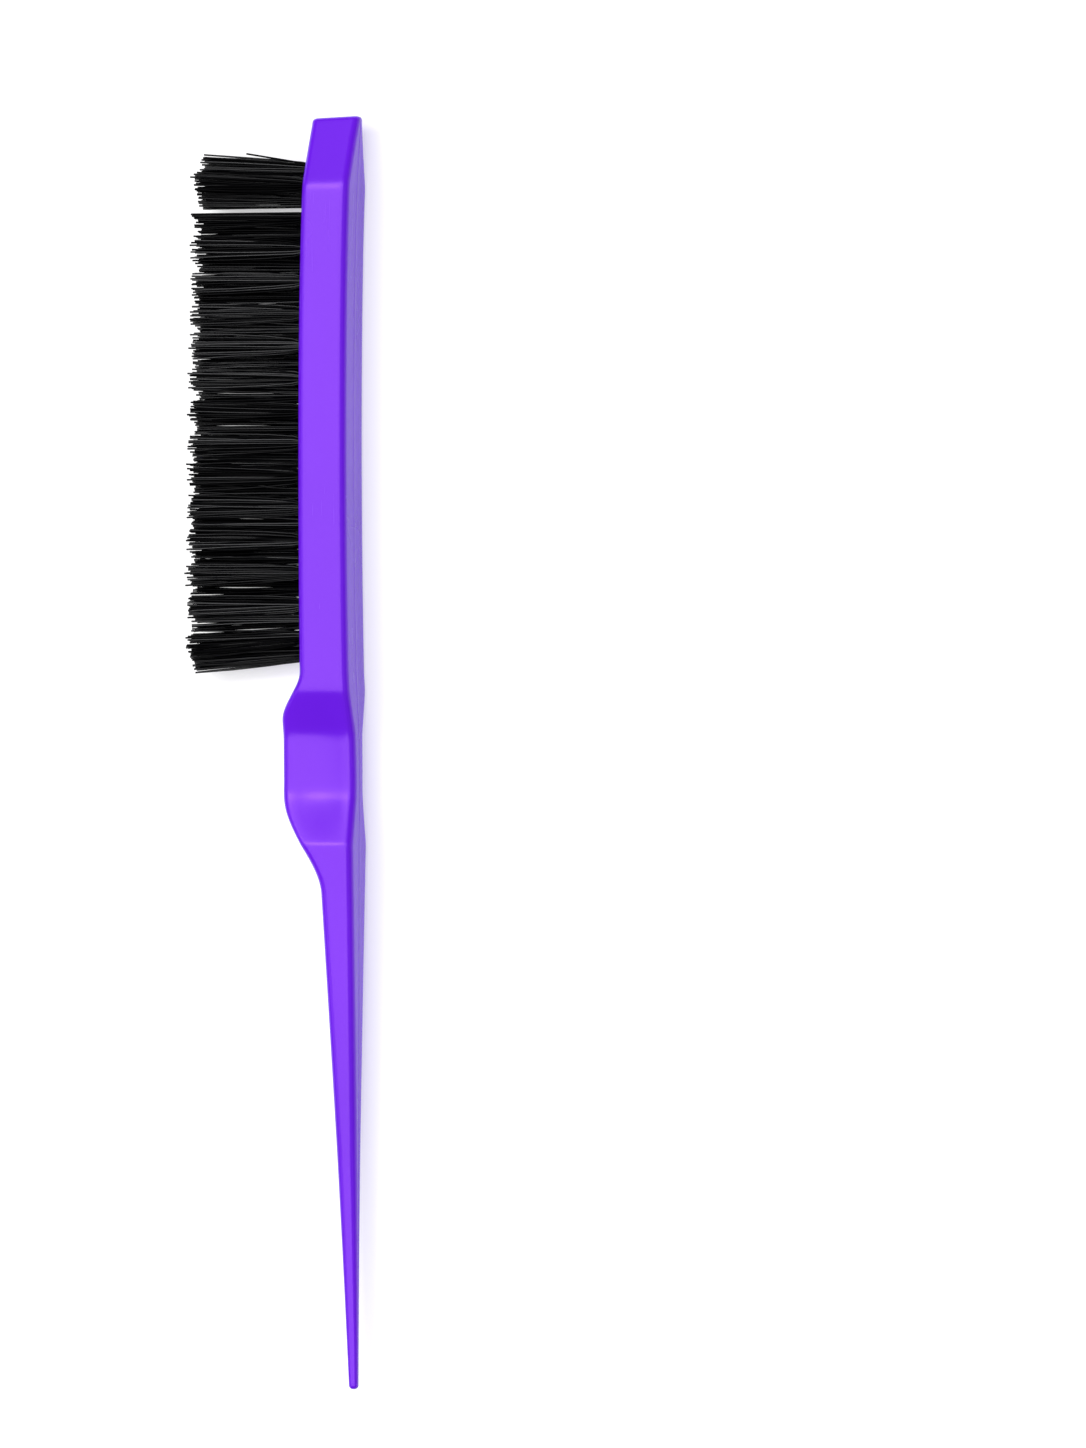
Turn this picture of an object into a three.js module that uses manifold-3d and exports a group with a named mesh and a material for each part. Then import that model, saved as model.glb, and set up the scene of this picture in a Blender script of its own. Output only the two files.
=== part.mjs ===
// A rat tail teasing brush, in millimetres. The handle is one moulding: a head block, a finger rest
// and a slim pointed tail. Three staggered rows of bristle tufts stand in blind holes in the head.
//
// The brush lies on its side: +X runs to the head's tip, +Y is the way the bristles point, and +Z is
// up, across the thickness. The origin is at the bottom centre of the whole brush's box.

import * as THREE from 'three';
import { mergeVertices } from 'three/addons/utils/BufferGeometryUtils.js';
import Module from 'manifold-3d';

const wasm = await Module();
wasm.setup();

// Tufts and their holes.
const tuftColumns = 31; // columns along the head, where the middle and the outer rows take turns
const columnPitch = 2.92; // one column to the next
const rowPitch = 3.2; // middle row to an outer row
const bristleLength = 20.9; // free length above the head's face
const bristleDome = 0.7; // how far a tuft's trimmed end is domed
const holeDiameter = 2.4;
const holeDepth = 5.5;
const holeClearance = 0.3; // around and under a tuft in its hole
const tuftGap = 0.5; // between the spread tips of neighbouring tufts
const tipLean = 2.7; // outward lean of the first tuft, in degrees
const heelLean = 4.2; // outward lean of the last tuft, in degrees
const leaningColumns = 4; // columns over which the lean fades away at each end

// Head block.
const tipMargin = 9.5; // head's tip to the first tuft
const heelMargin = 3.5; // last tuft to the finger rest
const backWall = 3.75; // plastic behind the holes
const sideWall = 1.6; // plastic beside the outer holes
const faceCrown = 0.42; // rise of the bristle face at the middle of the head
const faceDrop = 0.85; // fall of the bristle face at the head's tip
const faceDropPower = 6; // how close to the tip that fall stays
const spineBow = 0.6; // rise of the spine at the middle of the head
const spineDrop = 0.6; // fall of the spine at the head's tip
const spineDropPower = 9; // how close to the tip that fall stays
const wedgeLength = 12.5; // the head thins to its tip over this length
const wedgeTipWidth = 3;

// Finger rest: a deep thin pad between the shoulders of the head and the neck of the tail.
const restHeight = 3.85; // above the head's face
const restRise = 8.8;
const restFlat = 12.9;
const restFall = 18.5;
const shoulderDelay = 3.3; // full width carries on past the head by this much
const shoulderLength = 7.8;
const padWidth = 6.5; // between the two pads, at the foot of the shoulders
const padLength = 8; // over which the pads close in to the waist
const waistWidth = 6;
const waistLength = 2.6;
const flareLength = 9.3; // waist to neck
const flarePower = 1.1; // soft at the waist, with a crease at the neck
const neckWidth = 10.5;
const dishDepth = 0.35; // hollow for the fingers in the middle of each pad
const spineSag = 0.68; // the spine drops by this much behind the finger rest

// Tail.
const tailLength = 89.2;
const tailRootDepth = 6.1;
const tailTipThickness = 1.6;
const tailTaperPower = 1.35; // how fast the neck slims down
const tailSag = 0.05; // further drop of the spine along the tail

// Edges.
const edgeRadius = 1.4;
const edgeShare = 0.75; // of a section's smaller half size, the most that an edge radius takes
const headEndRadius = 0.7;
const tailEndRadius = 0.7;

// Facets.
const cornerSteps = 4;
const dishShares = [0.5, 0, -0.5]; // points across a wide side, from its middle to either edge
const holeSides = 10;
const tuftSides = 8;
const endSteps = 3;

// Worked out from the sizes above. Distances along the brush are counted from the head's tip.
const holeRadius = holeDiameter / 2;
const headLength = tipMargin + (tuftColumns - 1) * columnPitch + heelMargin;
const headWidth = 2 * (rowPitch + holeRadius + sideWall);
const headDepth = holeDepth + backWall;
const restTopStart = headLength + restRise;
const restTopEnd = restTopStart + restFlat;
const tailStart = restTopEnd + restFall;
const overallLength = tailStart + tailLength;
const shoulderStart = headLength + shoulderDelay;
const padStart = shoulderStart + shoulderLength;
const waistStart = padStart + padLength;
const waistEnd = waistStart + waistLength;
const neckStart = waistEnd + flareLength;
const tailRootFace = tailRootDepth - spineSag;
const tailTipFace = tailTipThickness - spineSag - tailSag;

// How far along the way from start to end a place is, from 0 to 1.
function along(place, start, end) {
  return THREE.MathUtils.clamp((place - start) / (end - start), 0, 1);
}

// The same, starting and stopping softly.
function ease(place, start, end) {
  return THREE.MathUtils.smoothstep(place, start, end);
}

// Height of the back of the brush.
function spineAt(place) {
  const headShare = along(place, 0, headLength);
  const bow = spineBow * 4 * headShare * (1 - headShare);
  const drop = spineDrop * (1 - headShare) ** spineDropPower;
  const sag = spineSag * (1 - (1 - along(place, headLength, waistEnd)) ** 2);
  return bow - drop - sag - tailSag * along(place, tailStart, overallLength);
}

// Height of the side that carries the bristles.
function faceAt(place) {
  const headShare = along(place, 0, headLength);
  const crown = faceCrown * 4 * headShare * (1 - headShare);
  const drop = faceDrop * (1 - headShare) ** faceDropPower;
  const rise = restHeight * ease(place, headLength, restTopStart);
  const fall = (headDepth + restHeight - tailRootFace) * ease(place, restTopEnd, tailStart);
  const taper = (tailRootFace - tailTipFace) * along(place, tailStart, overallLength);
  return headDepth + crown - drop + rise - fall - taper;
}

// Thickness of the brush.
function widthAt(place) {
  if (place < waistEnd) {
    const wedge = (headWidth - wedgeTipWidth) * (1 - along(place, 0, wedgeLength));
    const shoulder = (headWidth - padWidth) * along(place, shoulderStart, padStart);
    return headWidth - wedge - shoulder - (padWidth - waistWidth) * along(place, padStart, waistStart);
  }
  if (place < neckStart) {
    return waistWidth + (neckWidth - waistWidth) * along(place, waistEnd, neckStart) ** flarePower;
  }
  const left = 1 - along(place, neckStart, overallLength);
  return tailTipThickness + (neckWidth - tailTipThickness) * left ** tailTaperPower;
}

// Depth of the hollow in each wide side of the finger rest.
function dishAt(place) {
  return dishDepth * (ease(place, shoulderStart, padStart) - ease(place, waistEnd, neckStart));
}

// Evenly spaced places from start to end, without the last one.
function placesBetween(start, end, count) {
  return Array.from({ length: count }, (_, i) => start + ((end - start) * i) / count);
}

// One rounded rectangle across the handle, drawn in by inset on every side. Its two wide sides dip
// towards their middle where there is a hollow.
function sectionAt(place, inset) {
  const low = spineAt(place) + inset;
  const high = faceAt(place) - inset;
  const halfWidth = widthAt(place) / 2 - inset;
  const radius = Math.min(edgeRadius, edgeShare * Math.min(halfWidth, (high - low) / 2));
  const reach = (high - low) / 2 - radius;
  const points = [];
  for (const [quarter, sideY, sideZ] of [[0, 1, 1], [1, -1, 1], [2, -1, -1], [3, 1, -1]]) {
    const centreY = (low + high) / 2 + sideY * reach;
    const centreZ = sideZ * (halfWidth - radius);
    for (let step = 0; step <= cornerSteps; step += 1) {
      const angle = ((quarter + step / cornerSteps) * Math.PI) / 2;
      const y = centreY + radius * Math.cos(angle);
      const z = centreZ + radius * Math.sin(angle);
      points.push(new THREE.Vector3(-place, y, z));
    }
    for (const share of quarter % 2 === 0 ? dishShares : []) {
      const y = (low + high) / 2 + sideY * reach * share;
      const z = sideZ * (halfWidth - dishAt(place) * (1 - share ** 2));
      points.push(new THREE.Vector3(-place, y, z));
    }
  }
  return points;
}

// Every section of the handle, from the head's tip to the tail's. Both ends are rounded over.
function handleSections() {
  const sections = [];
  for (let step = 0; step <= endSteps; step += 1) {
    const angle = (step / endSteps) * (Math.PI / 2);
    const inset = headEndRadius * (1 - Math.sin(angle));
    sections.push(sectionAt(headEndRadius * (1 - Math.cos(angle)), inset));
  }
  const places = [
    ...placesBetween(headEndRadius, wedgeLength, 4).slice(1),
    ...placesBetween(wedgeLength, headLength, 9),
    ...placesBetween(headLength, shoulderStart, 2),
    ...placesBetween(shoulderStart, padStart, 6),
    ...placesBetween(padStart, waistStart, 4),
    ...placesBetween(waistStart, waistEnd, 2),
    ...placesBetween(waistEnd, neckStart, 5),
    ...placesBetween(neckStart, tailStart, 5),
    ...placesBetween(tailStart, overallLength - tailEndRadius, 12),
  ];
  for (const place of places) {
    sections.push(sectionAt(place, 0));
  }
  for (let step = 0; step <= endSteps; step += 1) {
    const angle = (step / endSteps) * (Math.PI / 2);
    const inset = tailEndRadius * (1 - Math.cos(angle));
    sections.push(sectionAt(overallLength - tailEndRadius * (1 - Math.sin(angle)), inset));
  }
  return sections;
}

// A closed skin over a run of sections that all have the same number of points.
function loft(sections) {
  const ringSize = sections[0].length;
  const points = sections.flat();
  const triangles = [];
  for (let ring = 0; ring < sections.length - 1; ring += 1) {
    for (let i = 0; i < ringSize; i += 1) {
      const here = ring * ringSize + i;
      const next = ring * ringSize + ((i + 1) % ringSize);
      triangles.push(here, here + ringSize, next + ringSize);
      triangles.push(here, next + ringSize, next);
    }
  }
  const lastRing = (sections.length - 1) * ringSize;
  for (let i = 1; i < ringSize - 1; i += 1) {
    triangles.push(0, i, i + 1);
    triangles.push(lastRing, lastRing + i + 1, lastRing + i);
  }
  const geometry = new THREE.BufferGeometry().setFromPoints(points);
  geometry.setIndex(triangles);
  return geometry;
}

// Between three.js meshes and solids that can be cut.
function toSolid(geometry) {
  const bare = geometry.clone();
  bare.deleteAttribute('normal');
  bare.deleteAttribute('uv');
  const merged = mergeVertices(bare);
  const vertProperties = new Float32Array(merged.attributes.position.array);
  const triVerts = new Uint32Array(merged.index.array);
  return new wasm.Manifold(new wasm.Mesh({ numProp: 3, vertProperties, triVerts }));
}

function toGeometry(solid) {
  const mesh = solid.getMesh();
  const geometry = new THREE.BufferGeometry();
  geometry.setAttribute('position', new THREE.BufferAttribute(mesh.vertProperties, 3));
  geometry.setIndex(new THREE.BufferAttribute(mesh.triVerts, 1));
  geometry.computeVertexNormals();
  return geometry;
}

// Where every tuft stands. Even columns are in the middle row, odd ones in both outer rows.
function tuftPlaces() {
  const places = [];
  const counts = { middle_tuft: 0, upper_tuft: 0, lower_tuft: 0 };
  for (let column = 0; column < tuftColumns; column += 1) {
    const rows = column % 2 === 0 ? [['middle_tuft', 0]] : [['upper_tuft', rowPitch], ['lower_tuft', -rowPitch]];
    const nearTip = 1 - along(column, 0, leaningColumns);
    const nearHeel = along(column, tuftColumns - 1 - leaningColumns, tuftColumns - 1);
    for (const [row, z] of rows) {
      counts[row] += 1;
      places.push({
        name: `${row}_${String(counts[row]).padStart(2, '0')}`,
        place: tipMargin + column * columnPitch,
        z,
        lean: THREE.MathUtils.degToRad(tipLean * nearTip - heelLean * nearHeel),
      });
    }
  }
  return places;
}

// The handle, with a blind hole for each tuft.
function buildHandle() {
  let solid = toSolid(loft(handleSections()));
  const cutHeight = holeDepth + restHeight; // long enough to clear the face above the hole
  for (const { place, z } of tuftPlaces()) {
    const hole = new THREE.CylinderGeometry(holeRadius, holeRadius, cutHeight, holeSides);
    hole.translate(-place, faceAt(place) - holeDepth + cutHeight / 2, z);
    solid = solid.subtract(toSolid(hole));
  }
  const material = new THREE.MeshStandardMaterial({ color: 0x8a3df2, roughness: 0.28, metalness: 0 });
  const mesh = new THREE.Mesh(toGeometry(solid), material);
  mesh.name = 'handle';
  return mesh;
}

// One tuft: a straight root in its hole, then a spread bundle with a domed end. It leans by moving
// each level along the brush, in proportion to its height above the face.
function buildTuft({ name, place, z, lean }, material) {
  const rootRadius = holeRadius - holeClearance;
  const nearestTuft = Math.min(Math.hypot(columnPitch, rowPitch), 2 * columnPitch);
  const tipRadius = (nearestTuft - tuftGap) / 2;
  const profile = [
    new THREE.Vector2(0, holeClearance - holeDepth),
    new THREE.Vector2(rootRadius, holeClearance - holeDepth),
    new THREE.Vector2(rootRadius, 0),
    new THREE.Vector2(tipRadius, bristleLength - bristleDome),
    new THREE.Vector2(tipRadius / 2, bristleLength),
    new THREE.Vector2(0, bristleLength),
  ];
  const geometry = new THREE.LatheGeometry(profile, tuftSides);
  const position = geometry.attributes.position;
  for (let i = 0; i < position.count; i += 1) {
    const height = Math.max(position.getY(i), 0);
    position.setX(i, position.getX(i) + Math.tan(lean) * height);
  }
  const mesh = new THREE.Mesh(geometry, material);
  mesh.name = name;
  mesh.position.set(-place, faceAt(place), z);
  return mesh;
}

// The whole brush, then moved so that its box stands on the origin.
const brush = new THREE.Group();
brush.add(buildHandle());
for (const tuft of tuftPlaces()) {
  const nylon = new THREE.MeshStandardMaterial({ color: 0x0d0d10, roughness: 0.42, metalness: 0 });
  brush.add(buildTuft(tuft, nylon));
}
const box = new THREE.Box3().setFromObject(brush);
const middle = box.getCenter(new THREE.Vector3());
brush.position.set(-middle.x, -middle.y, -box.min.z);

export default brush;
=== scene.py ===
import math

import bpy
import numpy as np
from mathutils import Matrix, Vector


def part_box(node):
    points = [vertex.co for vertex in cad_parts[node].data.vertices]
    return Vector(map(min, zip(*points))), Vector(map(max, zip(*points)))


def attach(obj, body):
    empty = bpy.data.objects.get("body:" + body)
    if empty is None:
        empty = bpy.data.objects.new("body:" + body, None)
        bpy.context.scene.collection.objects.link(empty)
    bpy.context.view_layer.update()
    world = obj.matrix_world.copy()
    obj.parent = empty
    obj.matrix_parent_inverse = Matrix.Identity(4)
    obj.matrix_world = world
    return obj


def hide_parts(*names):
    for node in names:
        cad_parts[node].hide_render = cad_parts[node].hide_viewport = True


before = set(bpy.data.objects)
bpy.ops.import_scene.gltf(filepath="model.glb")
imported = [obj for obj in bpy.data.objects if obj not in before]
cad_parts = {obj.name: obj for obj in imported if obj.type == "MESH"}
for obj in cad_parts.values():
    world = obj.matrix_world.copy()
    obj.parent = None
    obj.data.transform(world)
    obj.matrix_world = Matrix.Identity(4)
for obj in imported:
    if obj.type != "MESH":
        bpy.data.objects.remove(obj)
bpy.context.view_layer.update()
mm = 0.001
rng = np.random.default_rng(7)

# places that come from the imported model, in metres
handleLow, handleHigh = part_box("handle")
headTipX = handleHigh.x
midPlaneZ = (handleLow.z + handleHigh.z) / 2
overall = (handleHigh.x - handleLow.x) / mm


def centreOf(node):
    low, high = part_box(node)
    return (low + high) / 2


# two middle tufts that stand straight, sixteen columns apart, give the column pitch
columnPitch = (centreOf("middle_tuft_04").x - centreOf("middle_tuft_12").x) / 16
firstColumnX = centreOf("middle_tuft_04").x + 6 * columnPitch
lastColumn = 30
rowPitch = centreOf("upper_tuft_05").z - centreOf("middle_tuft_05").z
rowOffset = {"middle": 0.0, "upper": rowPitch, "lower": -rowPitch}

camera = {
    "lens": 200,
    "sensor": 36,
    "frameHeight": 261.6,  # millimetres of the object's plane that fill the long side
    "elevation": 74.6,  # degrees above the table, looking along +Y
    "roll": 0.18,
    "right": -33.05,  # where the brush's middle sits in the picture, in millimetres
    "up": -5.2,
    "clip": (0.01, 20),  # nearest and furthest, in metres
}

light = {
    "worldDark": 0.08,  # at the horizon
    "worldBright": 0.30,  # overhead
    "brightFrom": 0.7,  # the height in the sky, 0 to 1, where it reaches that
    "suns": {
        "softbox": {"strength": 2.0, "spread": 54, "tilt": (-6, 5)},
        "accent": {"strength": 0.30, "spread": 14, "tilt": (-17, 17)},
        "accentLeft": {"strength": 0.26, "spread": 12, "tilt": (-34, 17)},
        "accentRight": {"strength": 0.16, "spread": 9, "tilt": (16, 17)},
        "headSide": {"strength": 0.16, "spread": 30, "tilt": (-15, 42)},
        "bristleSide": {"strength": 0.30, "spread": 30, "tilt": (-50, 0)},
        "spineSide": {"strength": 0.10, "spread": 30, "tilt": (50, 0)},
    },
}


def makeCamera():
    data = bpy.data.cameras.new("camera")
    data.lens = camera["lens"]
    data.sensor_width = camera["sensor"]
    distance = camera["frameHeight"] * mm * camera["lens"] / camera["sensor"]
    tilt = math.radians(camera["elevation"])
    back = Vector((0, -math.cos(tilt), math.sin(tilt)))
    up = Matrix.Rotation(math.radians(camera["roll"]), 3, back) @ Vector((1, 0, 0))
    right = up.cross(back)
    middle = Vector((0, handleLow.y, midPlaneZ))
    place = middle - right * camera["right"] * mm - up * camera["up"] * mm + back * distance
    turn = Matrix((right, up, back)).transposed().to_4x4()
    cam = bpy.data.objects.new("camera", data)
    cam.matrix_world = Matrix.Translation(place) @ turn
    data.clip_start, data.clip_end = camera["clip"]
    bpy.context.scene.collection.objects.link(cam)
    bpy.context.scene.camera = cam


def makeSun(name, settings):
    # tilt is in degrees from overhead: about X, which leans it to -Y or +Y, then about Y
    sun = bpy.data.lights.new(name, "SUN")
    sun.energy = settings["strength"]
    sun.angle = math.radians(settings["spread"])
    lamp = bpy.data.objects.new(name, sun)
    aboutX, aboutY = settings["tilt"]
    lamp.rotation_euler = (math.radians(aboutX), math.radians(aboutY), 0)
    bpy.context.scene.collection.objects.link(lamp)


def makeLight():
    # the room is dark at the horizon and bright overhead
    scene = bpy.context.scene
    scene.view_settings.view_transform = "Standard"
    world = bpy.data.worlds.new("studio")
    scene.world = world
    world.use_nodes = True
    nodes, links = world.node_tree.nodes, world.node_tree.links
    direction = nodes.new("ShaderNodeTexCoord")
    parts = nodes.new("ShaderNodeSeparateXYZ")
    fade = nodes.new("ShaderNodeMapRange")
    fade.inputs["From Min"].default_value = 0.0
    fade.inputs["From Max"].default_value = light["brightFrom"]
    fade.inputs["To Min"].default_value = light["worldDark"]
    fade.inputs["To Max"].default_value = light["worldBright"]
    links.new(direction.outputs["Generated"], parts.inputs["Vector"])
    links.new(parts.outputs["Z"], fade.inputs["Value"])
    links.new(fade.outputs["Result"], nodes["Background"].inputs["Strength"])
    nodes["Background"].inputs["Color"].default_value = (1, 1, 1, 1)
    for name, settings in light["suns"].items():
        makeSun(name, settings)


makeCamera()
makeLight()
print("camera and light are set")


def newMesh(name, points, faces, material):
    # one object at the origin, with its place in its mesh
    mesh = bpy.data.meshes.new(name)
    mesh.from_pydata(points.reshape(-1, 3).tolist(), [], faces)
    mesh.update()
    obj = bpy.data.objects.new(name, mesh)
    bpy.context.scene.collection.objects.link(obj)
    if material:
        mesh.materials.append(material)
    mesh.shade_smooth()
    return obj


def gridFaces(rings, around):
    # quads of a tube: ring i, point j joins ring i + 1, point j + 1, and each ring closes on itself
    i, j = np.meshgrid(np.arange(rings - 1), np.arange(around), indexing="ij")
    here = i * around + j
    beside = i * around + (j + 1) % around
    return np.stack([here, here + around, beside + around, beside], -1).reshape(-1, 4)


def tubeFaces(rings, around):
    # the same, with a flat face over each end
    sides = gridFaces(rings, around).tolist()
    firstEnd = list(range(around))
    lastEnd = [(rings - 1) * around + k for k in range(around)][::-1]
    return sides + [firstEnd, lastEnd]


def manyTubes(count, rings, around):
    # the faces of count tubes whose points follow one another
    size = rings * around
    one = tubeFaces(rings, around)
    return [[v + i * size for v in face] for i in range(count) for face in one]


def storeNumbers(mesh, name, values):
    # one number for each point, which the material reads by this name
    layer = mesh.attributes.new(name, "FLOAT", "POINT")
    layer.data.foreach_set("value", np.asarray(values, dtype=np.float32))


def pointsOf(mesh):
    flat = np.empty(len(mesh.vertices) * 3, dtype=np.float32)
    mesh.vertices.foreach_get("co", flat)
    return flat.reshape(-1, 3).astype(float)


def nodeMaterial(name):
    material = bpy.data.materials.new(name)
    material.use_nodes = True
    nodes = material.node_tree.nodes
    return material, nodes, material.node_tree.links, nodes["Principled BSDF"]


def addNoise(nodes, links, scale, detail, stretch=(1, 1, 1)):
    # noise in the object's own coordinates, drawn out along an axis by a small stretch
    place = nodes.new("ShaderNodeTexCoord")
    mapping = nodes.new("ShaderNodeMapping")
    mapping.inputs["Scale"].default_value = stretch
    noise = nodes.new("ShaderNodeTexNoise")
    noise.inputs["Scale"].default_value = scale
    noise.inputs["Detail"].default_value = detail
    links.new(place.outputs["Object"], mapping.inputs["Vector"])
    links.new(mapping.outputs["Vector"], noise.inputs["Vector"])
    return noise.outputs["Fac"]


def addRange(nodes, links, value, fromRange, toRange):
    ramp = nodes.new("ShaderNodeMapRange")
    ramp.inputs["From Min"].default_value, ramp.inputs["From Max"].default_value = fromRange
    ramp.inputs["To Min"].default_value, ramp.inputs["To Max"].default_value = toRange
    links.new(value, ramp.inputs["Value"])
    return ramp.outputs["Result"]


def addSum(nodes, links, first, second):
    add = nodes.new("ShaderNodeMath")
    links.new(first, add.inputs[0])
    links.new(second, add.inputs[1])
    return add.outputs["Value"]


def addBump(nodes, links, height, strength, distance, under=None):
    bump = nodes.new("ShaderNodeBump")
    bump.inputs["Strength"].default_value = strength
    bump.inputs["Distance"].default_value = distance
    links.new(height, bump.inputs["Height"])
    if under:
        links.new(under, bump.inputs["Normal"])
    return bump.outputs["Normal"]


handle = {
    # head block, in millimetres from the head's tip, or above the spine
    "headLength": 100.6,
    "headDepth": 9.25,
    "faceCrown": 0.42,
    "faceDrop": 0.85,
    "faceDropPower": 6,
    "spineBow": 0.6,
    "spineDrop": 0.6,
    "spineDropPower": 9,
    "spineSag": 0.68,
    "tailSag": 0.05,
    "wedgeLength": 12.5,
    "wedgeTipWidth": 3.0,
    # finger rest
    "restHeight": 3.85,
    "restTop": (109.4, 122.3),
    "shoulder": (103.9, 111.7),
    "padWidth": 6.5,
    "pad": (111.7, 119.7),
    "waist": 6.0,
    "flare": (122.3, 131.6),
    "flarePower": 1.1,
    "neck": 10.5,
    "dishDepth": 0.35,  # hollow for the fingers in the middle of each pad
    # tail
    "tailStart": 140.8,
    "tailRootDepth": 6.1,
    "tipThickness": 1.6,
    "taperPower": 1.35,
    # edges and finish
    "edgeRadius": 1.4,
    "edgeShare": 0.75,
    "headEndRadius": 0.7,
    "tailEndRadius": 0.7,
    "creaseSoftness": 0.5,
    "softCreases": ((12.5, 1.1), (103.9, 0.7), (111.7, 1.4), (122.3, 1.5)),  # where softer, by how much
    "creaseReach": 4,  # how far along the brush a soft crease spreads
    "softSamples": 13,
    "middleWeight": 1.05,  # of the middle sample; the outermost ones count for 1 less
    "tipSlant": 0.35,  # the head's end leans back towards the bristles
    "partingRidge": 0.03,  # height of the mould's parting line along the spine
    "ridgeEase": 4,  # the length over which it fades in on the bristles' side
    "sharpAngle": 38,  # degrees
    "step": 0.5,
    "cornerSteps": 10,
    "flatShares": (0.14, 0.28, 0.40, 0.485, 0.5, 0.515, 0.60, 0.72, 0.86),
    "holeRadius": 1.2,
    "holeDepth": 5.5,
    "holeRim": 0.12,
    "holeSides": 32,
    "drillPoint": 0.25,  # how much deeper the hole is in the middle
    "drillTip": 0.05,  # radius of the flat in the middle of the drill point
    "cutterRise": 1.5,  # how far the cutter stands out of the hole
}


def along(place, start, end):
    return np.clip((place - start) / (end - start), 0, 1)


def ease(place, start, end):
    t = along(place, start, end)
    return t * t * (3 - 2 * t)


def spineAt(place):
    # a shallow bow over the head with a fall at its tip, a drop behind the finger rest that slows as
    # the square of what is left of it, and a straight drop down the tail
    h = handle
    t = along(place, 0, h["headLength"])
    bow = h["spineBow"] * 4 * t * (1 - t) - h["spineDrop"] * (1 - t) ** h["spineDropPower"]
    sag = h["spineSag"] * (1 - (1 - along(place, h["headLength"], h["flare"][0])) ** 2)
    return bow - sag - h["tailSag"] * along(place, h["tailStart"], overall)


def faceAt(place):
    # head depth with a crown and a fall at the tip, an eased step up to the finger rest, an eased
    # step down to the tail, and a straight taper to its end
    h = handle
    t = along(place, 0, h["headLength"])
    crown = h["faceCrown"] * 4 * t * (1 - t)
    drop = h["faceDrop"] * (1 - t) ** h["faceDropPower"]
    rise = h["restHeight"] * ease(place, h["headLength"], h["restTop"][0])
    rootFace = h["tailRootDepth"] - h["spineSag"]
    tipFace = h["tipThickness"] - h["spineSag"] - h["tailSag"]
    fall = (h["headDepth"] + h["restHeight"] - rootFace) * ease(place, h["restTop"][1], h["tailStart"])
    taper = (rootFace - tipFace) * along(place, h["tailStart"], overall)
    return h["headDepth"] + crown - drop + rise - fall - taper


def widthAt(place):
    # full width, less a straight wedge at the tip, a straight shoulder and a slight closing in between
    # the pads; a flare with a crease at the neck; and a tail that slims as a power of what is left
    h = handle
    full = (handleHigh.z - handleLow.z) / mm
    wedge = (full - h["wedgeTipWidth"]) * (1 - along(place, 0, h["wedgeLength"]))
    shoulder = (full - h["padWidth"]) * along(place, *h["shoulder"])
    head = full - wedge - shoulder - (h["padWidth"] - h["waist"]) * along(place, *h["pad"])
    flare = h["waist"] + (h["neck"] - h["waist"]) * along(place, *h["flare"]) ** h["flarePower"]
    left = 1 - along(place, h["flare"][1], overall)
    tail = h["tipThickness"] + (h["neck"] - h["tipThickness"]) * left ** h["taperPower"]
    return np.where(place < h["flare"][0], head, np.where(place < h["flare"][1], flare, tail))


def dishAt(place):
    # the hollow eases in down the shoulder and out up the flare
    h = handle
    return h["dishDepth"] * (ease(place, *h["shoulder"]) - ease(place, *h["flare"]))


def softened(profile, place):
    # every value becomes a weighted mean of the profile over a short span either side of its place:
    # the weights fall evenly from the middle of the span to its ends
    radius = handle["creaseSoftness"]
    for middle, more in handle["softCreases"]:
        radius = radius + more * np.exp(-((place - middle) / handle["creaseReach"]) ** 2)
    spans = np.linspace(-1, 1, handle["softSamples"])
    weights = handle["middleWeight"] - np.abs(spans)
    values = np.stack([profile(place + s * radius) for s in spans])
    return (values * weights[:, None]).sum(0) / weights.sum()


def sectionSizes(place, inset=0):
    # low and high edge, half width and corner radius of the rounded rectangle at each place
    h = handle
    low = softened(spineAt, place) + inset
    high = softened(faceAt, place) - inset
    halfWidth = softened(widthAt, place) / 2 - inset
    radius = np.minimum(h["edgeRadius"], h["edgeShare"] * np.minimum(halfWidth, (high - low) / 2))
    return low, high, halfWidth, radius


def ringShape():
    # a rounded rectangle as corner signs and arc directions: point = centre + sign * (half - r) + r * arc.
    # Of the last two arrays, one marks the middle of the spine's side and of the bristles' side, and
    # the other is 1 less the square of the way from the middle to the edge, on the two wide sides.
    steps = handle["cornerSteps"]
    share = np.array(handle["flatShares"])[:, None]
    signs, arcs, seams, dips = [], [], [], []
    corners = np.array([(1, 1), (-1, 1), (-1, -1), (1, -1)])
    for k, sign in enumerate(corners):
        angle = (k + np.linspace(0, 1, steps + 1)) * np.pi / 2
        nextSign = corners[(k + 1) % 4]
        signs += [np.tile(sign, (steps + 1, 1)), sign * (1 - share) + nextSign * share]
        arcs.append(np.stack([np.cos(angle), np.sin(angle)], -1))
        arcs.append(np.tile([np.cos(angle[-1]), np.sin(angle[-1])], (len(share), 1)))
        seam = np.where(np.isclose(share[:, 0], 0.5), {1: -1.0, 3: 1.0}.get(k, 0.0), 0.0)
        seams += [np.zeros(steps + 1), seam]
        wide = {0: 1.0, 2: -1.0}.get(k, 0.0)
        dips += [np.zeros(steps + 1), wide * (1 - (2 * share[:, 0] - 1) ** 2)]
    return np.concatenate(signs), np.concatenate(arcs), np.concatenate(seams), np.concatenate(dips)


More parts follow.
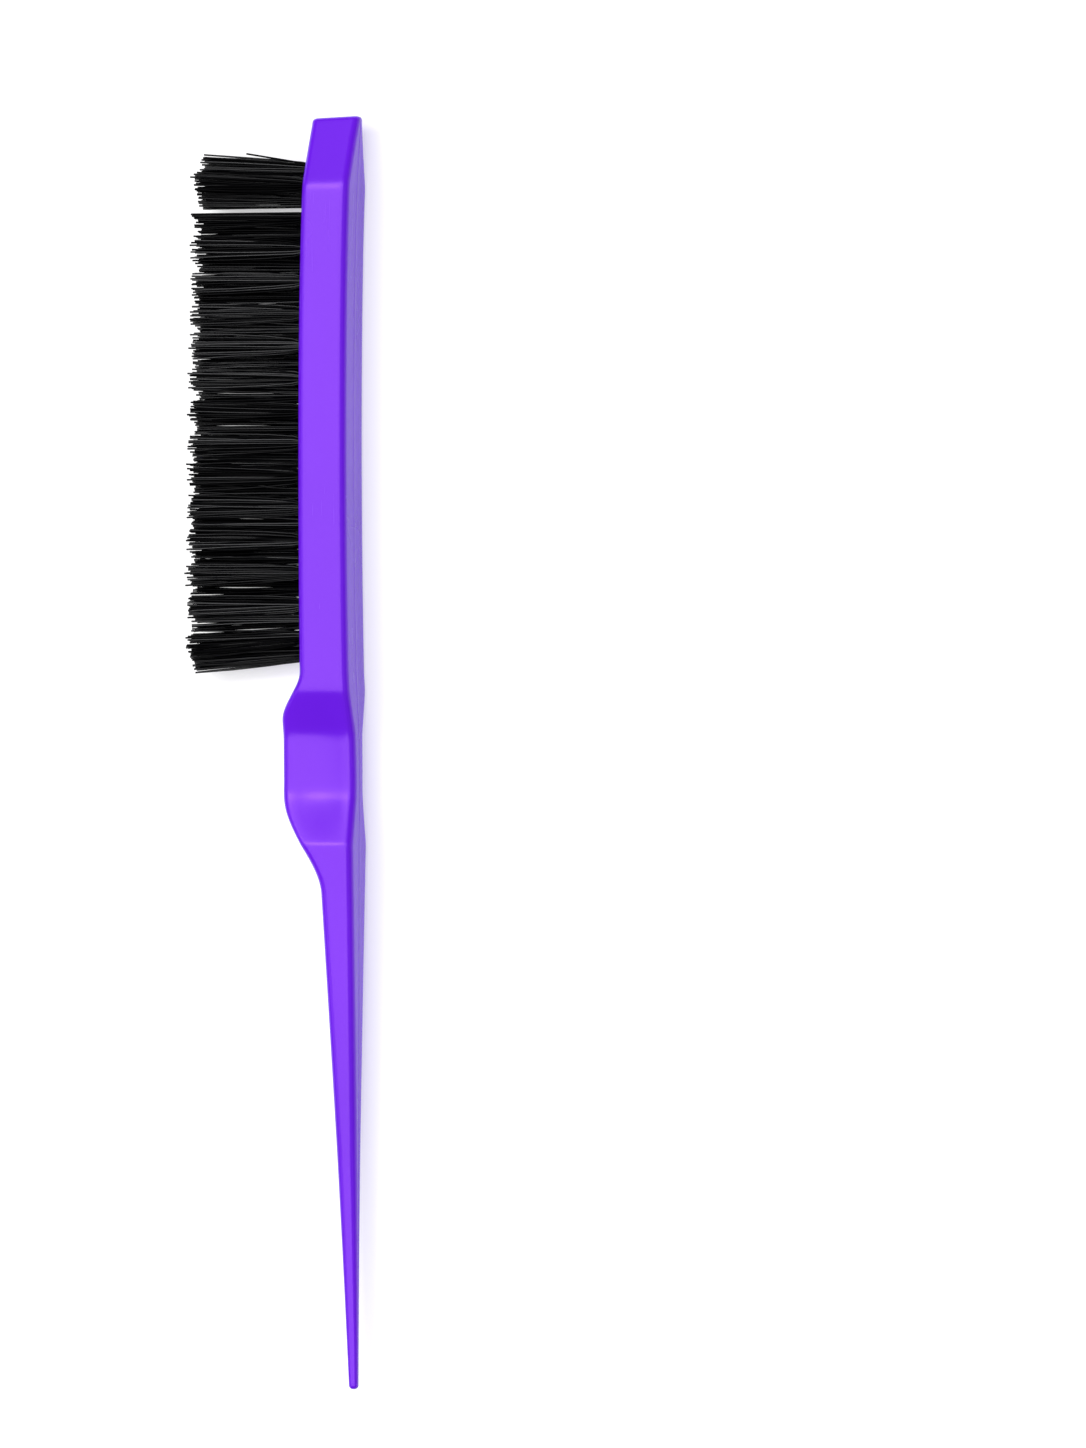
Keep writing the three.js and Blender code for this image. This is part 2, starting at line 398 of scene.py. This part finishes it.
def handleSkin():
    # sections along the brush: at both ends a quarter round draws the section in
    h = handle
    quarter = np.linspace(0, np.pi / 2, 9)
    headEnd = h["headEndRadius"] * (1 - np.cos(quarter))
    headInset = h["headEndRadius"] * (1 - np.sin(quarter))
    tailEnd = overall - h["tailEndRadius"] * (1 - np.cos(quarter[::-1]))
    tailInset = h["tailEndRadius"] * (1 - np.sin(quarter[::-1]))
    count = int((overall - h["headEndRadius"] - h["tailEndRadius"]) / h["step"])
    body = np.linspace(headEnd[-1], tailEnd[0], count)[1:-1]
    place = np.concatenate([headEnd, body, tailEnd])
    inset = np.concatenate([headInset, np.zeros(len(body)), tailInset])

    low, high, halfWidth, radius = sectionSizes(place, inset)
    sign, arc, seam, dip = ringShape()
    y = ((low + high) / 2)[:, None] + sign[None, :, 0] * ((high - low) / 2 - radius)[:, None]
    y = y + radius[:, None] * arc[None, :, 0]
    z = sign[None, :, 1] * (halfWidth - radius)[:, None] + radius[:, None] * arc[None, :, 1]
    z = z - dishAt(place)[:, None] * dip
    # the parting line is a low ridge along the spine, and on the other side behind the head only
    behind = ease(place, h["headLength"], h["headLength"] + h["ridgeEase"])[:, None]
    ridge = h["partingRidge"] * np.where(seam > 0, behind, 1) * seam
    slant = h["tipSlant"] * along(y, 0, h["headDepth"]) * (1 - along(place, 0, h["wedgeLength"]))[:, None]
    return np.stack([-place[:, None] - slant, y + ridge, z], -1) * mm


# the spine's reference height in the row frame: the tail's end is the lowest part of the handle
spineY = handleLow.y + (handle["spineSag"] + handle["tailSag"]) * mm
toRow = np.array([headTipX, spineY, midPlaneZ])


def applyModifiers(obj):
    graph = bpy.context.evaluated_depsgraph_get()
    done = bpy.data.meshes.new_from_object(obj.evaluated_get(graph))
    obj.modifiers.clear()
    obj.data = done


def tuftColumnsOf(row):
    # middle tufts stand in even columns, outer tufts in odd ones
    return np.arange(0 if row == "middle" else 1, lastColumn + 1, 2)


def holeCutters():
    # a turned profile for each hole: a shallow drill point, a straight wall and a rim that opens out
    h = handle
    r, rim = h["holeRadius"], h["holeRim"]
    profile = np.array([
        (h["drillTip"], -h["holeDepth"] - h["drillPoint"]),
        (r, -h["holeDepth"]),
        (r, -rim),
        (r + rim, 0.0),
        (r + rim, h["cutterRise"]),
    ])
    angle = np.arange(h["holeSides"]) * 2 * np.pi / h["holeSides"]
    turned = np.stack([
        profile[:, 0, None] * np.sin(angle),
        np.broadcast_to(profile[:, 1, None], (len(profile), len(angle))),
        profile[:, 0, None] * np.cos(angle),
    ], -1) * mm
    centres = [mouthOf(row, column) for row in rowOffset for column in tuftColumnsOf(row)]
    points = turned[None] + np.array(centres)[:, None, None, :]
    return newMesh("hole_cutter", points, manyTubes(len(centres), len(profile), h["holeSides"]), None)


def mouthOf(row, column):
    # where a tuft leaves the head's face
    x = firstColumnX - column * columnPitch
    face = faceAt(np.array([(headTipX - x) / mm]))[0] * mm
    return np.array([x, spineY + face, midPlaneZ + rowOffset[row]])


plastic = {
    "colour": (0.134, 0.0070, 0.74),
    "cloudColour": (0.122, 0.0060, 0.70),
    "ior": 1.49,
    "specular": 0.60,
    "sheen": (0.88, 0.40, 1.0),  # the tint of what the surface reflects
    "roughness": 0.25,
    "cloudRoughness": 0.05,
    "scuffRoughness": 0.008,
    "edgeRoughness": 0.03,
    "cloudScale": 34,
    "scuffScale": 1900,
    "scuffStretch": (0.035, 1, 1),
    "grainScale": 2600,
    "grainDepth": 0.000006,
    "scuffDepth": 0.0000006,
}


def edgeWear():
    # 1 on the crest of a rounded edge, 0 where a side is flat
    points = (pointsOf(handleObj.data) - toRow) / mm
    low, high, halfWidth, radius = sectionSizes(-points[:, 0])
    acrossY = np.abs(points[:, 1] - (low + high) / 2) - ((high - low) / 2 - radius)
    acrossZ = np.abs(points[:, 2]) - (halfWidth - radius)
    crest = np.minimum(acrossY, acrossZ) / radius / math.cos(math.pi / 4)
    return np.clip(crest, 0, 1)


def makeHandlePlastic():
    # moulded plastic: cloudy colour, long fine scuffs, a slight grain and softer gloss on the edges
    p = plastic
    material, nodes, links, shader = nodeMaterial("purple_plastic")
    shader.inputs["IOR"].default_value = p["ior"]
    shader.inputs["Specular IOR Level"].default_value = p["specular"]
    shader.inputs["Specular Tint"].default_value = (*p["sheen"], 1)
    cloud = addNoise(nodes, links, p["cloudScale"], 3)
    mix = nodes.new("ShaderNodeMix")
    mix.data_type = "RGBA"
    mix.inputs["A"].default_value = (*p["colour"], 1)
    mix.inputs["B"].default_value = (*p["cloudColour"], 1)
    links.new(addRange(nodes, links, cloud, (0.35, 0.65), (0, 1)), mix.inputs["Factor"])
    links.new(mix.outputs["Result"], shader.inputs["Base Color"])

    scuff = addNoise(nodes, links, p["scuffScale"], 2, p["scuffStretch"])
    scuff = addRange(nodes, links, scuff, (0.60, 0.72), (0, 1))
    edge = nodes.new("ShaderNodeAttribute")
    edge.attribute_name = "edge"
    low = p["roughness"] - p["cloudRoughness"] / 2
    rough = addRange(nodes, links, cloud, (0.3, 0.7), (low, low + p["cloudRoughness"]))
    rough = addSum(nodes, links, rough, addRange(nodes, links, scuff, (0, 1), (0, p["scuffRoughness"])))
    rough = addSum(nodes, links, rough,
                   addRange(nodes, links, edge.outputs["Fac"], (0.5, 1), (0, p["edgeRoughness"])))
    links.new(rough, shader.inputs["Roughness"])

    grain = addNoise(nodes, links, p["grainScale"], 2)
    normal = addBump(nodes, links, grain, 0.5, p["grainDepth"])
    normal = addBump(nodes, links, scuff, 0.5, -p["scuffDepth"], normal)
    links.new(normal, shader.inputs["Normal"])
    return material


def makeHandle():
    points = handleSkin() + toRow
    obj = newMesh("handle_body", points, tubeFaces(*points.shape[:2]), makeHandlePlastic())
    cutter = holeCutters()
    cut = obj.modifiers.new("holes", "BOOLEAN")
    cut.operation = "DIFFERENCE"
    cut.solver = "MANIFOLD"
    cut.object = cutter
    applyModifiers(obj)
    bpy.data.objects.remove(cutter)
    obj.data.shade_smooth()
    obj.data.set_sharp_from_angle(angle=math.radians(handle["sharpAngle"]))
    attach(obj, "root")
    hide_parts("handle")
    return obj


handleObj = makeHandle()
storeNumbers(handleObj.data, "edge", edgeWear())
print("handle:", len(handleObj.data.polygons), "faces")


bristle = {
    "doubled": 18,  # filaments to a tuft, each folded in half
    "thickness": 0.36,
    "sides": 5,
    "bundleRadius": 1.0,  # of the filaments' centres at the hole's mouth
    "spread": 2.05,  # how much wider the bundle is at its tips
    "spreadPower": 0.34,  # it opens quickly above the hole
    "length": 20.3,
    "heelGrowth": 0.8,  # the last columns are trimmed this much longer
    "heelColumns": (14, 28),  # where that starts and where it is reached
    "trimRoughness": 0.42,
    "longest": 0.6,  # above the mean length
    "wander": 0.35,  # sideways drift of a tip
    "curl": 0.21,
    "stations": (0.0, 0.07, 0.30, 0.65, 1.0),  # heights of the points of a leg, as shares of its length
    "plateTurn": (0.4, 0.8),  # least and most turn of the plate from square across, in radians
    "plateHeight": -4.5,  # of the anchor plate over which each filament is folded
    "plateClearance": 0.38,  # from the plate's middle to the nearest filament's centre
    "foldDrop": 0.45,
    "tipLean": 2.7,  # degrees, of the first column
    "heelLean": 4.2,  # of the last
    "leanColumns": 4,
    "clusterLean": 0.22,
    "partingPlace": 16.95,  # the bristles part here, in millimetres from the head's tip
    "partingHalf": 0.62,  # from the middle of the parting to the nearest filament's centre
    "partingSlack": 0.25,  # most that a filament beside it stands back further
    "partingReach": 5,  # tufts further away than this are left alone
    "tipFan": 0.7,  # how much further the outermost filament of the first tuft stands out
    "fanPower": 3,  # above 1, so that only the outermost few stand out
    "strayLength": 11.8,  # one filament of the first tuft is short and stands away from the rest
    "strayLean": 7.2,
    "tonePower": 2.5,  # most filaments are dull and a few are glossy
    "sharpAngle": 80,  # degrees, so that only the cut ends are sharp
}


def leanOf(column):
    b = bristle
    nearTip = 1 - along(column, 0, b["leanColumns"])
    nearHeel = along(column, lastColumn - b["leanColumns"], lastColumn)
    return math.radians(b["tipLean"] * nearTip - b["heelLean"] * nearHeel)


def tuftRoots(column):
    # where one tuft's filaments stand in its hole. Sunflower points fill the hole; the half on one
    # side of the anchor plate is paired with the half on the other, so that each filament is folded
    # across the plate.
    b = bristle
    n = b["doubled"]
    turn = rng.uniform(0, 2 * np.pi)
    k = np.arange(2 * n) + 0.5
    radius = b["bundleRadius"] * np.sqrt(k / (2 * n))
    angle = k * np.pi * (3 - np.sqrt(5)) + turn
    across = radius * np.cos(angle)
    order = np.argsort(across)
    plate = rng.uniform(*b["plateTurn"]) * (1 if column % 2 else -1)
    turned = np.array([(math.cos(plate), math.sin(plate)), (-math.sin(plate), math.cos(plate))])
    legs, feet = [], []
    for side, half in ((-1, order[:n]), (1, order[n:])):
        half = half[np.argsort(radius[half] * np.sin(angle[half]))]
        x, z = radius[half] * np.cos(angle[half]), radius[half] * np.sin(angle[half])
        legs.append(np.stack([x, z], -1) @ turned)
        clear = side * np.maximum(side * x, b["plateClearance"])
        feet.append(np.stack([clear, z], -1) @ turned)
    return legs, feet, plate


nylonLook = {
    "ior": 1.53,
    "dull": (0.0004, 0.0004, 0.0007),
    "glossy": (0.0036, 0.0036, 0.0056),
    "specular": (0.02, 0.46),  # of the dullest filament and of the glossiest
    "roughness": (0.16, 0.30),
    "drawnScale": 2400,
    "drawnStretch": (1, 0.04, 1),  # the marks run along the filament
    "drawnRoughness": (-0.03, 0.05),
    "drawnDepth": 0.00001,
}


def makeNylon():
    # drawn filament: nearly black, and each one a little duller or glossier than the next
    look = nylonLook
    material, nodes, links, shader = nodeMaterial("black_nylon")
    shader.inputs["IOR"].default_value = look["ior"]
    tone = nodes.new("ShaderNodeAttribute")
    tone.attribute_name = "tone"
    mix = nodes.new("ShaderNodeMix")
    mix.data_type = "RGBA"
    mix.inputs["A"].default_value = (*look["dull"], 1)
    mix.inputs["B"].default_value = (*look["glossy"], 1)
    links.new(tone.outputs["Fac"], mix.inputs["Factor"])
    links.new(mix.outputs["Result"], shader.inputs["Base Color"])
    links.new(addRange(nodes, links, tone.outputs["Fac"], (0, 1), look["specular"]),
              shader.inputs["Specular IOR Level"])
    drawn = addNoise(nodes, links, look["drawnScale"], 2, look["drawnStretch"])
    rough = addSum(nodes, links, addRange(nodes, links, tone.outputs["Fac"], (0, 1), look["roughness"]),
                   addRange(nodes, links, drawn, (0.3, 0.7), look["drawnRoughness"]))
    links.new(rough, shader.inputs["Roughness"])
    links.new(addBump(nodes, links, drawn, 0.4, look["drawnDepth"]), shader.inputs["Normal"])
    return material


nylon = makeNylon()


def keepOffParting(x, mouthX):
    # filaments on either side of the parting stop short of it
    b = bristle
    gapX = (headTipX - mouthX) / mm - b["partingPlace"]  # the tuft's place past the parting
    if abs(gapX) > b["partingReach"]:
        return x
    beside = x - gapX if gapX < 0 else gapX - x
    slack = b["partingSlack"] * rng.uniform(0, 1, (x.shape[0], 1))
    beside = np.maximum(beside, b["partingHalf"] + slack)
    return beside + gapX if gapX < 0 else gapX - beside


def legPaths(legs, column, mouthX):
    # from the hole's mouth up each leg to its tip: the legs fan out as a power of their height, with a
    # drift and a slight curve of their own
    b = bristle
    n = b["doubled"]
    lean = math.tan(leanOf(column) + math.radians(b["clusterLean"]) * rng.normal())
    heights = np.array(b["stations"])
    t = heights[None, :, None]
    paths = []
    for root in legs:
        tips = b["length"] + b["heelGrowth"] * ease(column, *b["heelColumns"])
        tips = tips + np.minimum(rng.normal(0, b["trimRoughness"], n), b["longest"])
        drift = rng.normal(0, b["wander"], (n, 2))
        curl = rng.normal(0, b["curl"], (n, 2))
        flat = root[:, None, :] * (1 + (b["spread"] - 1) * t ** b["spreadPower"])
        flat = flat + drift[:, None, :] * t + curl[:, None, :] * t * (1 - t) * 2
        if column == 0:
            outer = np.clip(root[:, 0] / b["bundleRadius"], 0, 1) ** b["fanPower"]
            flat[..., 0] += b["tipFan"] * outer[:, None] * heights
        if column == 0 and root is legs[1]:
            stray = np.argmax(root[:, 0])
            tips[stray] = b["strayLength"]
            aside = math.tan(math.radians(b["strayLean"])) * tips[stray] * heights
            flat[stray, :, 0] = root[stray, 0] + aside
        level = tips[:, None] * heights[None, :]
        flat[..., 0] = keepOffParting(flat[..., 0] + lean * level, mouthX)
        paths.append(np.stack([flat[..., 0], level, flat[..., 1]], -1))
    return paths


def foldedLines(legs, feet, paths):
    # below the mouth each leg goes straight down, and the two meet under the anchor plate
    b = bristle
    low = np.full(b["doubled"], b["plateHeight"])
    lows = [np.stack([foot[:, 0], low, foot[:, 1]], -1)[:, None] for foot in feet]
    middle = (legs[0] + legs[1]) / 2
    fold = np.stack([middle[:, 0], low - b["foldDrop"], middle[:, 1]], -1)[:, None]
    return np.concatenate([paths[0][:, ::-1], lows[0], fold, lows[1], paths[1]], 1) * mm


def tubesAlong(line, legs):
    # a ring of points square to each centre line at every place on it, turned at random about the line
    b = bristle
    n = b["doubled"]
    tangent = np.gradient(line, axis=1)
    tangent /= np.linalg.norm(tangent, axis=-1, keepdims=True)
    gap = np.stack([legs[1][:, 0] - legs[0][:, 0], np.zeros(n), legs[1][:, 1] - legs[0][:, 1]], -1)
    gap = (gap / np.linalg.norm(gap, axis=-1, keepdims=True))[:, None]
    beside = np.broadcast_to(np.cross(gap, [0, 1, 0]), tangent.shape)
    outward = np.cross(beside, tangent)
    outward /= np.linalg.norm(outward, axis=-1, keepdims=True)
    angle = np.arange(b["sides"]) * 2 * np.pi / b["sides"] + rng.uniform(0, 2 * np.pi, (n, 1))
    angle = angle[:, None, :, None]
    ring = np.cos(angle) * outward[:, :, None] + np.sin(angle) * beside[:, :, None]
    return line[:, :, None] + b["thickness"] / 2 * mm * ring


def makeTuft(row, number, column):
    # each filament is a tube along its centre line, folded in half over the anchor plate
    b = bristle
    n = b["doubled"]
    legs, feet, plate = tuftRoots(column)
    mouth = mouthOf(row, column)
    line = foldedLines(legs, feet, legPaths(legs, column, mouth[0]))
    points = tubesAlong(line, legs) + mouth
    rings = line.shape[1]
    obj = newMesh(f"{row}_bristles_{number:02d}", points, manyTubes(n, rings, b["sides"]), nylon)
    tone = rng.uniform(0, 1, n) ** b["tonePower"]
    storeNumbers(obj.data, "tone", np.repeat(tone, rings * b["sides"]))
    obj.data.set_sharp_from_angle(angle=math.radians(b["sharpAngle"]))
    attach(obj, "root")
    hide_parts(f"{row}_tuft_{number:02d}")
    makeAnchor(row, number, mouth, plate)


anchor = {
    "length": 2.34,  # a press fit across the hole
    "height": 1.5,
    "thickness": 0.36,
    "corner": 0.10,
    "sectionPoints": 12,
    "lift": 0.1,  # of its lower edge above plateHeight
    "sharpAngle": 50,  # degrees
    "dark": (0.62, 0.60, 0.56),
    "bright": (0.74, 0.73, 0.70),
    "roughness": (0.28, 0.42),
    "rolledScale": 1800,
    "rolledStretch": (1, 0.08, 1),
}


def makeAnchorMetal():
    # bright flat wire with fine marks that run the way the bristles point
    a = anchor
    material, nodes, links, shader = nodeMaterial("anchor_wire")
    shader.inputs["Metallic"].default_value = 1.0
    rolled = addNoise(nodes, links, a["rolledScale"], 2, a["rolledStretch"])
    mix = nodes.new("ShaderNodeMix")
    mix.data_type = "RGBA"
    mix.inputs["A"].default_value = (*a["dark"], 1)
    mix.inputs["B"].default_value = (*a["bright"], 1)
    links.new(rolled, mix.inputs["Factor"])
    links.new(mix.outputs["Result"], shader.inputs["Base Color"])
    links.new(addRange(nodes, links, rolled, (0.3, 0.7), a["roughness"]), shader.inputs["Roughness"])
    return material


anchorMetal = makeAnchorMetal()


def makeAnchor(row, number, mouth, plate):
    # a slip of flat wire on edge across the hole: a rounded rectangle drawn along the wire's length
    a = anchor
    half = np.array([a["height"] / 2, a["thickness"] / 2]) - a["corner"]
    angle = np.linspace(0, 2 * np.pi, a["sectionPoints"], endpoint=False) + np.pi / a["sectionPoints"]
    section = a["corner"] * np.stack([np.cos(angle), np.sin(angle)], -1)
    section = section + half * np.sign(section)
    ends = np.array([-0.5, 0.5]) * a["length"]
    wire = np.array([-math.sin(plate), 0, math.cos(plate)])  # along the plate, between the legs
    thick = np.array([math.cos(plate), 0, math.sin(plate)])
    middle = np.array([0, bristle["plateHeight"] + a["height"] / 2 + a["lift"], 0])
    points = middle + ends[:, None, None] * wire + section[None, :, 1, None] * thick
    points = points + section[None, :, 0, None] * np.array([0, 1, 0])
    obj = newMesh(f"{row}_anchor_{number:02d}", points * mm + mouth, tubeFaces(2, len(angle)), anchorMetal)
    obj.data.set_sharp_from_angle(angle=math.radians(a["sharpAngle"]))
    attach(obj, "root")


for row in rowOffset:
    for number, column in enumerate(tuftColumnsOf(row), 1):
        makeTuft(row, number, int(column))
print("bristles and their anchors are set")


table = {
    "colour": (0.66, 0.66, 0.66),
    "roughness": 0.8,
    "glow": 0.46,  # keeps shadows on the white table faint
    "reach": 4.0,  # from its middle to its edges, in metres
}


def makeFloor():
    material, nodes, links, shader = nodeMaterial("white_table")
    shader.inputs["Base Color"].default_value = (*table["colour"], 1)
    shader.inputs["Roughness"].default_value = table["roughness"]
    shader.inputs["Emission Color"].default_value = (1, 1, 1, 1)
    shader.inputs["Emission Strength"].default_value = table["glow"]
    reach = table["reach"]
    corners = np.array([(-reach, -reach, 0), (reach, -reach, 0), (reach, reach, 0), (-reach, reach, 0)])
    floor = newMesh("table", corners, [[0, 1, 2, 3]], material)


makeFloor()
print("floor is set")
